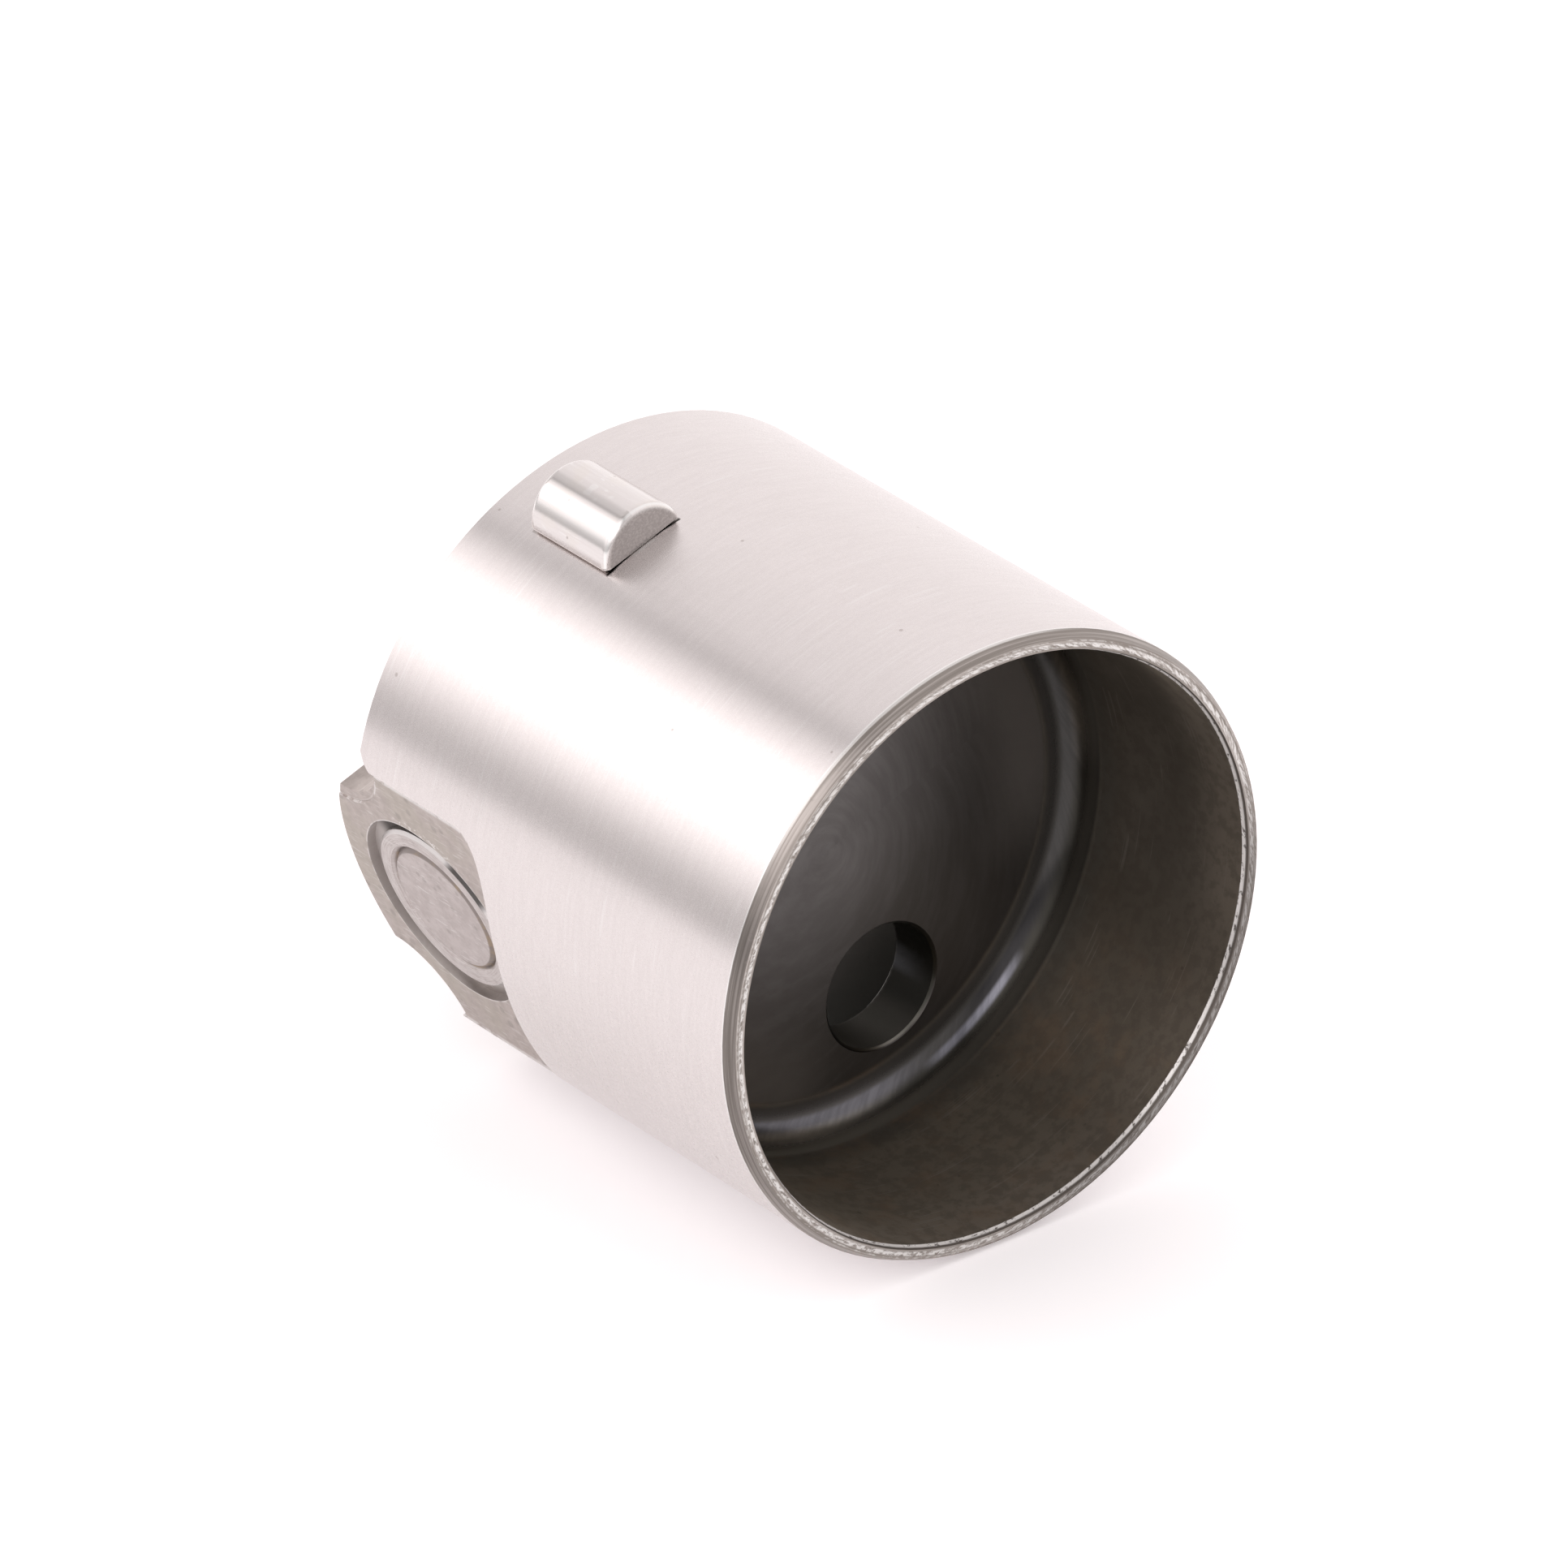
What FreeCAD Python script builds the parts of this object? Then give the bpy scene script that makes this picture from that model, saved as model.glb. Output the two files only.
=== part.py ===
import FreeCAD, Part

import math
import os

import Sketcher

# Fuel pump tappet: a one-piece steel bucket with a thin cup at one end and a
# roller on needles between two ears at the other. The cup's rim stands on
# z = 0, the bucket's axis is Z, the axle lies along X and the key is on +Y.

os.makedirs("parts", exist_ok=True)
doc = FreeCAD.newDocument("FuelPumpTappet")
sheet = doc.addObject("Spreadsheet::Sheet", "dims")
row_count = 0


class Size:
    """A length that knows its value and the cells it comes from."""

    def __init__(self, value, text):
        self.value = float(value)
        self.text = text

    @staticmethod
    def of(other):
        if isinstance(other, Size):
            return other
        return Size(other, repr(other))

    def __add__(self, other):
        other = Size.of(other)
        return Size(self.value + other.value, "(%s + %s)" % (self.text, other.text))

    def __sub__(self, other):
        other = Size.of(other)
        return Size(self.value - other.value, "(%s - %s)" % (self.text, other.text))

    def __mul__(self, other):
        other = Size.of(other)
        return Size(self.value * other.value, "(%s * %s)" % (self.text, other.text))

    def __truediv__(self, other):
        other = Size.of(other)
        return Size(self.value / other.value, "(%s / %s)" % (self.text, other.text))

    def __neg__(self):
        return Size(-self.value, "(0 - %s)" % self.text)

    def root(self):
        return Size(math.sqrt(self.value), "sqrt(%s)" % self.text)


def size(alias, value, note):
    """Write one driving value in the sheet and return it."""
    global row_count
    row_count += 1
    sheet.set("A%d" % row_count, note)
    sheet.set("B%d" % row_count, "%.6g" % value)
    sheet.setAlias("B%d" % row_count, alias)
    return Size(value, "dims.%s" % alias)


# Guide surface and cup
body_radius = size("body_radius", 15.5, "ground guide surface, radius")
cup_wall = size("cup_wall", 0.9, "wall of the cup")
floor_fillet = size("floor_fillet", 1.9, "fillet between wall and floor")
rim_chamfer_width = size("rim_chamfer_width", 0.27, "outer rim chamfer, radial")
rim_chamfer_height = size("rim_chamfer_height", 0.62, "outer rim chamfer, axial")
mouth_chamfer_width = size("mouth_chamfer_width", 0.13, "inner rim chamfer, radial")
mouth_chamfer_height = size("mouth_chamfer_height", 0.3, "inner rim chamfer, axial")

# Web and oil hole
web_thickness = size("web_thickness", 3.1, "cup floor to pocket floor")
oil_hole_radius = size("oil_hole_radius", 3.16, "oil hole through the web")
oil_hole_to_wall = size("oil_hole_to_wall", 5.75, "oil hole axis to the cup's wall")
oil_hole_inlet_chamfer = size("oil_hole_inlet_chamfer", 0.14, "chamfer on the cup side")
oil_hole_outlet_chamfer = size("oil_hole_outlet_chamfer", 0.25, "chamfer on the pocket side")

# Ears: crowned end, hollowed sides, outer flats
ear_height = size("ear_height", 31.8, "rim to the crown of the ears")
ear_crown_radius = size("ear_crown_radius", 11.7, "crown of the ears")
ear_half_width = size("ear_half_width", 4.6, "axle plane to the side of an ear")
ear_side_radius = size("ear_side_radius", 4.05, "hollow side of an ear")
ear_side_drop = size("ear_side_drop", 1.1, "crown to the hollow's centre")
hollow_width = size("hollow_width", 3.15, "side of an ear to the end of its hollow")
shoulder_width = size("shoulder_width", 1.75, "end of the hollow to the plain wall end")
shoulder_corner = size("shoulder_corner", 1.8, "rounded corner of the shoulder")
relief_width = size("relief_width", 0.74, "stepped edge of an ear on the key's side, width")
relief_depth = size("relief_depth", 0.08, "stepped edge of an ear, below the flat")
flat_depth = size("flat_depth", 2.13, "guide surface to an outer flat")
flat_length = size("flat_length", 14.7, "crown to the start of a flat")
flat_runout = size("flat_runout", 3.6, "hollow where a flat runs out")

# Roller pocket and the wall round it
wall_drop = size("wall_drop", 3.6, "crown to the end of the guide surface")
end_chamfer = size("end_chamfer", 0.3, "chamfer on the end of the guide surface")
pocket_wall = size("pocket_wall", 2.3, "wall at the rounded ends of the pocket")
pocket_width = size("pocket_width", 14.4, "pocket, between the ears")
pocket_corner_radius = size("pocket_corner_radius", 1.6, "upright corners of the pocket")
pocket_fillet = size("pocket_fillet", 0.9, "fillet round the pocket floor")
pocket_clearance = size("pocket_clearance", 1.15, "roller to the pocket floor")

# Axle
axle_drop = size("axle_drop", 6.6, "crown to the axle")
axle_radius = size("axle_radius", 4.46, "axle, radius")
axle_inset = size("axle_inset", 0.11, "axle end below the flat")
axle_chamfer = size("axle_chamfer", 0.16, "edge of the axle end")
recess_width = size("recess_width", 0.66, "recess round the axle end")
recess_depth = size("recess_depth", 0.5, "recess below the flat")
stake_land = size("stake_land", 0.84, "rim of the axle outside its staking groove")
stake_width = size("stake_width", 0.42, "staking groove, width")
stake_depth = size("stake_depth", 0.22, "staking groove, depth")

# Roller and needles
running_clearance = size("running_clearance", 0.015, "play on each side of a needle")
needle_radius = size("needle_radius", 1.0, "needle, radius")
needle_end_gap = size("needle_end_gap", 0.6, "needle to the side of an ear")
needle_end = size("needle_end", 0.3, "rounded end of a needle")
roller_radius = size("roller_radius", 8.75, "roller, radius")
roller_side_play = size("roller_side_play", 0.25, "gap on each side of the roller")
roller_edge = size("roller_edge", 0.6, "rounded edge of the roller")
race_chamfer = size("race_chamfer", 0.35, "chamfer of the roller's bore")

# Key
key_drop = size("key_drop", 3.3, "end of the guide surface to the key")
key_length = size("key_length", 5.7, "key, length")
key_radius = size("key_radius", 2.33, "round back of the key")
key_rise = size("key_rise", 0.28, "centre of the round back to the seat")
key_seat_depth = size("key_seat_depth", 0.05, "guide surface to the key's flat seat")
key_seat_margin = size("key_seat_margin", 0.2, "seat beyond the key's ends")
key_seat_overhang = size("key_seat_overhang", 0.29, "seat beyond the key's sides")
key_edge = size("key_edge", 0.35, "rounded edges of the key's ends")
key_base_edge = size("key_base_edge", 0.2, "rounded edges of the key's base")
key_stem_radius = size("key_stem_radius", 1.5, "stem pressed into the wall")
key_stem_recess = size("key_stem_recess", 0.25, "stem's end below the pocket's wall")
key_stem_chamfer = size("key_stem_chamfer", 0.25, "lead-in of the stem")

# How far each cut runs past the stock
overrun = size("overrun", 1.5, "cut beyond the stock")

NEEDLE_COUNT = 17
doc.recompute()

bore_radius = body_radius - cup_wall
pocket_radius = body_radius - pocket_wall
flat_offset = body_radius - flat_depth
flat_start = ear_height - flat_length
wall_height = ear_height - wall_drop
axle_height = ear_height - axle_drop
web_top = axle_height - roller_radius - pocket_clearance
cup_depth = web_top - web_thickness
oil_hole_offset = bore_radius - oil_hole_to_wall
ear_side_centre = ear_height - ear_side_drop
shoulder_start = ear_half_width + hollow_width
shoulder_end = shoulder_start + shoulder_width
axle_end = flat_offset - axle_inset
recess_radius = axle_radius + recess_width
stake_outer = axle_radius - stake_land
stake_inner = stake_outer - stake_width
stake_middle = stake_inner + stake_width / 2
needle_length = pocket_width - needle_end_gap * 2
key_seat = body_radius - key_seat_depth
key_centre = key_seat - key_rise
key_start = wall_height - key_drop - key_length
key_stem_end = pocket_radius + key_stem_recess
pitch_radius = axle_radius + running_clearance + needle_radius
race_radius = pitch_radius + needle_radius + running_clearance
roller_half = pocket_width / 2 - roller_side_play
zero = Size(0, "0")


def plane_of(body, role):
    """The body's own origin plane or axis with this role."""
    for item in body.Origin.OriginFeatures:
        if item.Role == role:
            return item
    raise RuntimeError("no origin feature " + role)


def new_body(label):
    body = doc.addObject("PartDesign::Body", label)
    body.Label = label
    body.Placement = FreeCAD.Placement()
    return body


def new_sketch(body, name, role, shift=None):
    """A sketch on an origin plane, moved by sizes along its own axes."""
    sketch = body.newObject("Sketcher::SketchObject", name)
    sketch.AttachmentSupport = (plane_of(body, role), [""])
    sketch.MapMode = "FlatFace"
    for axis, amount in (shift or {}).items():
        sketch.setExpression("AttachmentOffset.Base." + axis, amount.text)
    return sketch


def hold(sketch, kind, places, amount):
    """One constraint bound to the sheet."""
    index = sketch.addConstraint(Sketcher.Constraint(kind, *places, amount.value))
    sketch.setExpression("Constraints[%d]" % index, amount.text)


def centre_of_arc(start, end, radius, left):
    """Centre of an arc between two points, on the left or the right."""
    dx = end[0] - start[0]
    dy = end[1] - start[1]
    chord = math.hypot(dx, dy)
    rise = math.sqrt(max(radius * radius - chord * chord / 4.0, 0.0))
    side = 1.0 if left else -1.0
    mid = ((start[0] + end[0]) / 2.0, (start[1] + end[1]) / 2.0)
    return (mid[0] - side * dy / chord * rise, mid[1] + side * dx / chord * rise)


def outline(sketch, points, arcs=None):
    """A closed outline of lines and minor arcs through sized points.

    arcs maps the index of a side to (radius, centre on the left).
    """
    arcs = arcs or {}
    count = len(points)
    spots = [(p[0].value, p[1].value) for p in points]
    sides = []
    for i in range(count):
        start = spots[i]
        end = spots[(i + 1) % count]
        a = FreeCAD.Vector(start[0], start[1], 0)
        b = FreeCAD.Vector(end[0], end[1], 0)
        if i not in arcs:
            sides.append((sketch.addGeometry(Part.LineSegment(a, b), False), 1, 2))
            continue
        radius, left = arcs[i]
        middle = centre_of_arc(start, end, radius.value, left)
        centre = FreeCAD.Vector(middle[0], middle[1], 0)
        first = math.atan2(start[1] - middle[1], start[0] - middle[0])
        last = math.atan2(end[1] - middle[1], end[0] - middle[0])
        circle = Part.Circle(centre, FreeCAD.Vector(0, 0, 1), radius.value)
        if left:
            arc = Part.ArcOfCircle(circle, first, last)
            sides.append((sketch.addGeometry(arc, False), 1, 2))
        else:
            arc = Part.ArcOfCircle(circle, last, first)
            sides.append((sketch.addGeometry(arc, False), 2, 1))
    for i in range(count):
        geo, head, tail = sides[i]
        following, next_head, next_tail = sides[(i + 1) % count]
        sketch.addConstraint(Sketcher.Constraint("Coincident", geo, tail, following, next_head))
    for i in range(count):
        geo, head, tail = sides[i]
        hold(sketch, "DistanceX", (-1, 1, geo, head), points[i][0])
        hold(sketch, "DistanceY", (-1, 1, geo, head), points[i][1])
        if i in arcs:
            hold(sketch, "Radius", (geo,), arcs[i][0])


def circle(sketch, height, radius):
    """A circle on the sketch's vertical axis."""
    centre = FreeCAD.Vector(0, height.value, 0)
    ring = Part.Circle(centre, FreeCAD.Vector(0, 0, 1), radius.value)
    geo = sketch.addGeometry(ring, False)
    sketch.addConstraint(Sketcher.Constraint("PointOnObject", geo, 3, -2))
    hold(sketch, "DistanceY", (-1, 1, geo, 3), height)
    hold(sketch, "Radius", (geo,), radius)


def revolve(body, kind, name, sketch, axis):
    feature = body.newObject("PartDesign::" + kind, name)
    feature.Profile = sketch
    feature.ReferenceAxis = (sketch, [axis])
    feature.Angle = 360.0
    feature.Reversed = False
    sketch.Visibility = False
    doc.recompute()
    return feature


def pocket(body, name, sketch, both=True, backwards=False, length=None):
    """Cut along the sketch's normal and insist that material is removed."""
    before = body.Shape.Volume
    feature = body.newObject("PartDesign::Pocket", name)
    feature.Profile = sketch
    feature.Type = "Length" if length else "ThroughAll"
    feature.Midplane = both
    feature.Reversed = backwards
    if length:
        feature.setExpression("Length", length.text)
    sketch.Visibility = False
    doc.recompute()
    removed(body, name, before)
    return feature


def removed(body, name, before):
    if body.Shape.Volume > before - 1e-3:
        raise RuntimeError(name + " removed nothing")


def soften(body, kind, name, base, edges, amount):
    """Fillet or chamfer the named edges of a feature."""
    feature = body.newObject("PartDesign::" + kind, name)
    feature.Base = (base, edges)
    feature.setExpression("Radius" if kind == "Fillet" else "Size", amount.text)
    doc.recompute()
    return feature


def edges_where(shape, test):
    """Names of the edges whose bounding box passes a test."""
    return ["Edge%d" % (i + 1) for i, edge in enumerate(shape.Edges) if test(edge.BoundBox)]


# Tappet body: the blank is turned, with the cup and its chamfered rim
housing = new_body("tappet_body")
blank_top = ear_height + overrun
blank = new_sketch(housing, "blank_section", "XZ_Plane")
outline(
    blank,
    [
        (bore_radius + mouth_chamfer_width, zero),
        (body_radius - rim_chamfer_width, zero),
        (body_radius, rim_chamfer_height),
        (body_radius, blank_top),
        (zero, blank_top),
        (zero, cup_depth),
        (bore_radius - floor_fillet, cup_depth),
        (bore_radius, cup_depth - floor_fillet),
        (bore_radius, mouth_chamfer_height),
    ],
    {6: (floor_fillet, False)},
)
revolve(housing, "Revolution", "blank", blank, "V_Axis")

# The ears' crowns and hollow sides and the flat end of the wall, in one cut
crown_drop = ear_crown_radius * ear_crown_radius - ear_half_width * ear_half_width
crown_corner = ear_height - ear_crown_radius + crown_drop.root()
hollow_reach = shoulder_start - ear_half_width - ear_side_radius
hollow_drop = (ear_side_radius * ear_side_radius - hollow_reach * hollow_reach).root()
hollow_end = ear_side_centre - hollow_drop
stepped_half_width = ear_half_width + relief_width
stepped_drop = ear_crown_radius * ear_crown_radius - stepped_half_width * stepped_half_width
stepped_corner = ear_height - ear_crown_radius + stepped_drop.root()
clear_of_body = body_radius + overrun * 2
above = blank_top + overrun
crown = new_sketch(housing, "crown_section", "YZ_Plane")
outline(
    crown,
    [
        (-clear_of_body, above),
        (-clear_of_body, wall_height),
        (-shoulder_end, wall_height),
        (-shoulder_start, hollow_end),
        (-ear_half_width, ear_side_centre),
        (-ear_half_width, crown_corner),
        (zero, ear_height),
        (stepped_half_width, stepped_corner),
        (shoulder_start, hollow_end),
        (shoulder_end, wall_height),
        (clear_of_body, wall_height),
        (clear_of_body, above),
    ],
    {
        2: (shoulder_corner, False),
        3: (ear_side_radius, True),
        5: (ear_crown_radius, False),
        6: (ear_crown_radius, False),
        7: (ear_side_radius, True),
        8: (shoulder_corner, False),
    },
)
pocket(housing, "crown_cut", crown)

# Outer flats of the ears, each with a hollow run-out towards the cup
flats = new_sketch(housing, "flat_section", "XZ_Plane")
flat_runout_top = flat_start + flat_runout
outline(
    flats,
    [
        (flat_offset, above),
        (flat_offset, flat_runout_top),
        (flat_offset + flat_runout, flat_start),
        (clear_of_body + flat_runout, flat_start),
        (clear_of_body + flat_runout, above),
    ],
    {1: (flat_runout, True)},
)
outline(
    flats,
    [
        (-flat_offset, above),
        (-clear_of_body - flat_runout, above),
        (-clear_of_body - flat_runout, flat_start),
        (-flat_offset - flat_runout, flat_start),
        (-flat_offset, flat_runout_top),
    ],
    {3: (flat_runout, True)},
)
pocket(housing, "flats", flats)

# Stepped edge of each ear on the key's side
for side in (1, -1):
    name = "ear_step_right" if side > 0 else "ear_step_left"
    level = flat_offset - relief_depth
    step = new_sketch(housing, name + "_outline", "YZ_Plane", {"z": level if side > 0 else -level})
    outline(
        step,
        [
            (ear_half_width, above),
            (ear_half_width, ear_side_centre),
            (shoulder_start, hollow_end),
            (shoulder_start, above),
        ],
        {1: (ear_side_radius, True)},
    )
    pocket(housing, name, step, both=False, backwards=side > 0)

# Chamfer on the end of the guide surface
end_edge = new_sketch(housing, "end_edge_section", "XZ_Plane")
outline(
    end_edge,
    [
        (body_radius - end_chamfer, wall_height),
        (body_radius, wall_height - end_chamfer),
        (clear_of_body, wall_height - end_chamfer),
        (clear_of_body, wall_height),
    ],
)
before = housing.Shape.Volume
revolve(housing, "Groove", "end_edge", end_edge, "V_Axis")
removed(housing, "end_edge", before)

# Roller pocket between the ears, closed by the wall at both ends
slot = new_sketch(housing, "pocket_outline", "XY_Plane", {"z": web_top})
pocket_half = pocket_width / 2
pocket_corner = (pocket_radius * pocket_radius - pocket_half * pocket_half).root()
outline(
    slot,
    [
        (pocket_half, -pocket_corner),
        (pocket_half, pocket_corner),
        (-pocket_half, pocket_corner),
        (-pocket_half, -pocket_corner),
    ],
    {1: (pocket_radius, True), 3: (pocket_radius, True)},
)
roller_pocket = pocket(housing, "roller_pocket", slot, both=False, backwards=True)
floor_level = web_top.value
upright_edges = edges_where(
    roller_pocket.Shape,
    lambda box: abs(box.ZMin - floor_level) < 1e-4
    and box.XMax - box.XMin < 1e-4
    and box.YMax - box.YMin < 1e-4,
)
corners = soften(housing, "Fillet", "pocket_corners", roller_pocket, upright_edges, pocket_corner_radius)
floor_edges = edges_where(
    corners.Shape,
    lambda box: abs(box.ZMin - floor_level) < 1e-4 and abs(box.ZMax - floor_level) < 1e-4,
)
soften(housing, "Fillet", "pocket_floor_fillet", corners, floor_edges, pocket_fillet)

# Axle bore through both ears with a shallow recess at each flat
bore = new_sketch(housing, "axle_bore_outline", "YZ_Plane")
circle(bore, axle_height, axle_radius)
pocket(housing, "axle_bore", bore)
for side in (1, -1):
    name = "axle_recess_right" if side > 0 else "axle_recess_left"
    level = flat_offset - recess_depth
    recess = new_sketch(housing, name + "_outline", "YZ_Plane", {"z": level if side > 0 else -level})
    circle(recess, axle_height, recess_radius)
    pocket(housing, name, recess, both=False, backwards=side > 0)

# Oil hole through the web, on the side away from the key
oil_hole = new_sketch(housing, "oil_hole_section", "YZ_Plane", {"x": -oil_hole_offset})
outline(
    oil_hole,
    [
        (zero, cup_depth - overrun),
        (oil_hole_radius + oil_hole_inlet_chamfer, cup_depth - overrun),
        (oil_hole_radius + oil_hole_inlet_chamfer, cup_depth),
        (oil_hole_radius, cup_depth + oil_hole_inlet_chamfer),
        (oil_hole_radius, web_top - oil_hole_outlet_chamfer),
        (oil_hole_radius + oil_hole_outlet_chamfer, web_top),
        (zero, web_top),
    ],
)
before = housing.Shape.Volume
revolve(housing, "Groove", "oil_hole", oil_hole, "V_Axis")
removed(housing, "oil_hole", before)

# Key seat milled into the guide surface, and the hole for the key's stem
key_half_width = (key_radius * key_radius - key_rise * key_rise).root()
key_seat_half_width = key_half_width + key_seat_overhang
seat = new_sketch(housing, "key_seat_outline", "XY_Plane", {"z": key_start - key_seat_margin})
outline(
    seat,
    [
        (-key_seat_half_width, key_seat),
        (key_seat_half_width, key_seat),
        (key_seat_half_width, clear_of_body),
        (-key_seat_half_width, clear_of_body),
    ],
)
seat_length = key_length + key_seat_margin * 2
pocket(housing, "key_seat", seat, both=False, backwards=True, length=seat_length)
key_middle = key_start + key_length / 2
stem_hole = new_sketch(housing, "stem_hole_section", "YZ_Plane", {"y": key_middle})
outline(
    stem_hole,
    [
        (pocket_radius - overrun, zero),
        (clear_of_body, zero),
        (clear_of_body, key_stem_radius),
        (pocket_radius - overrun, key_stem_radius),
    ],
)
before = housing.Shape.Volume
revolve(housing, "Groove", "stem_hole", stem_hole, "H_Axis")
removed(housing, "stem_hole", before)

# Alignment key: half-moon bar with a flat seat, held by a stem in the wall
key = new_body("alignment_key")
key_section = new_sketch(key, "key_section", "XY_Plane", {"z": key_start})
outline(
    key_section,
    [
        (key_half_width, key_seat),
        (zero, key_centre + key_radius),
        (-key_half_width, key_seat),
    ],
    {0: (key_radius, True), 1: (key_radius, True)},
)
bar = key.newObject("PartDesign::Pad", "key_bar")
bar.Profile = key_section
bar.setExpression("Length", key_length.text)
doc.recompute()
key_ends = (key_start.value, (key_start + key_length).value)
back_edges = edges_where(
    bar.Shape,
    lambda box: min(abs(box.ZMin - end) + abs(box.ZMax - end) for end in key_ends) < 1e-4
    and box.YMax - box.YMin > 0.1,
)
rounding = soften(key, "Fillet", "key_rounding", bar, back_edges, key_edge)
seat_level = key_seat.value
base_edges = edges_where(
    rounding.Shape,
    lambda box: abs(box.YMin - seat_level) < 1e-4
    and abs(box.YMax - seat_level) < 1e-4
    and box.XMax - box.XMin < key_edge.value
    and box.ZMax - box.ZMin > key_edge.value * 2,
)
soften(key, "Fillet", "key_base_rounding", rounding, base_edges, key_base_edge)
stem = new_sketch(key, "stem_section", "YZ_Plane", {"y": key_middle})
outline(
    stem,
    [
        (key_stem_end, zero),
        (key_seat + key_rise, zero),
        (key_seat + key_rise, key_stem_radius),
        (key_stem_end + key_stem_chamfer, key_stem_radius),
        (key_stem_end, key_stem_radius - key_stem_chamfer),
    ],
)
revolve(key, "Revolution", "key_stem", stem, "H_Axis")

# Axle: plain pin, both ends staked with a ring groove
axle = new_body("axle_pin")
axle_section = new_sketch(axle, "axle_section", "XZ_Plane", {"y": axle_height})
outline(
    axle_section,
    [
        (-axle_end, zero),
        (axle_end, zero),
        (axle_end, stake_inner),
        (axle_end - stake_depth, stake_middle),
        (axle_end, stake_outer),
        (axle_end, axle_radius - axle_chamfer),
        (axle_end - axle_chamfer, axle_radius),
        (-axle_end + axle_chamfer, axle_radius),
        (-axle_end, axle_radius - axle_chamfer),
        (-axle_end, stake_outer),
        (-axle_end + stake_depth, stake_middle),
        (-axle_end, stake_inner),
    ],
)
revolve(axle, "Revolution", "axle_turned", axle_section, "H_Axis")

# Roller: hardened ring whose bore is the needles' outer raceway
roller = new_body("roller")
roller_section = new_sketch(roller, "roller_section", "XZ_Plane", {"y": axle_height})
outline(
    roller_section,
    [
        (-roller_half + race_chamfer, race_radius),
        (roller_half - race_chamfer, race_radius),
        (roller_half, race_radius + race_chamfer),
        (roller_half, roller_radius - roller_edge),
        (roller_half - roller_edge, roller_radius),
        (-roller_half + roller_edge, roller_radius),
        (-roller_half, roller_radius - roller_edge),
        (-roller_half, race_radius + race_chamfer),
    ],
    {3: (roller_edge, True), 5: (roller_edge, True)},
)
revolve(roller, "Revolution", "roller_turned", roller_section, "H_Axis")

# Needles: a full ring of them rolls between the axle and the roller
needles = []
for number in range(NEEDLE_COUNT):
    turn = 360.0 * (number + 0.5) / NEEDLE_COUNT
    needle = new_body("needle_%02d" % (number + 1))
    section = new_sketch(needle, "needle_section_%02d" % (number + 1), "XZ_Plane")
    half = needle_length / 2
    outline(
        section,
        [
            (-half, zero),
            (half, zero),
            (half, needle_radius - needle_end),
            (half - needle_end, needle_radius),
            (-half + needle_end, needle_radius),
            (-half, needle_radius - needle_end),
        ],
        {2: (needle_end, True), 4: (needle_end, True)},
    )
    revolve(needle, "Revolution", "needle_turned_%02d" % (number + 1), section, "H_Axis")
    across = "%s * cos(%.6f deg)" % (pitch_radius.text, turn)
    up = "%s + %s * sin(%.6f deg)" % (axle_height.text, pitch_radius.text, turn)
    needle.setExpression("Placement.Base.y", across)
    needle.setExpression("Placement.Base.z", up)
    needles.append(needle)
doc.recompute()

# Every object is sound before anything is written
for item in doc.Objects:
    for word in item.State:
        if word in ("Invalid", "Error"):
            raise RuntimeError("%s is %s" % (item.Name, word))
pieces = [housing, key, axle, roller] + needles
for piece in pieces:
    shape = piece.Shape
    if shape.isNull() or not shape.isValid() or len(shape.Solids) != 1:
        raise RuntimeError(piece.Label + " is not one sound solid")
    if piece not in needles:
        box = shape.BoundBox
        print("%-16s %9.1f mm3  z %6.2f to %6.2f" % (piece.Label, shape.Volume, box.ZMin, box.ZMax))
    shape.exportStep("parts/%s.step" % piece.Label)
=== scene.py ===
import math
from types import SimpleNamespace

import bpy
from mathutils import Matrix, Vector

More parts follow.
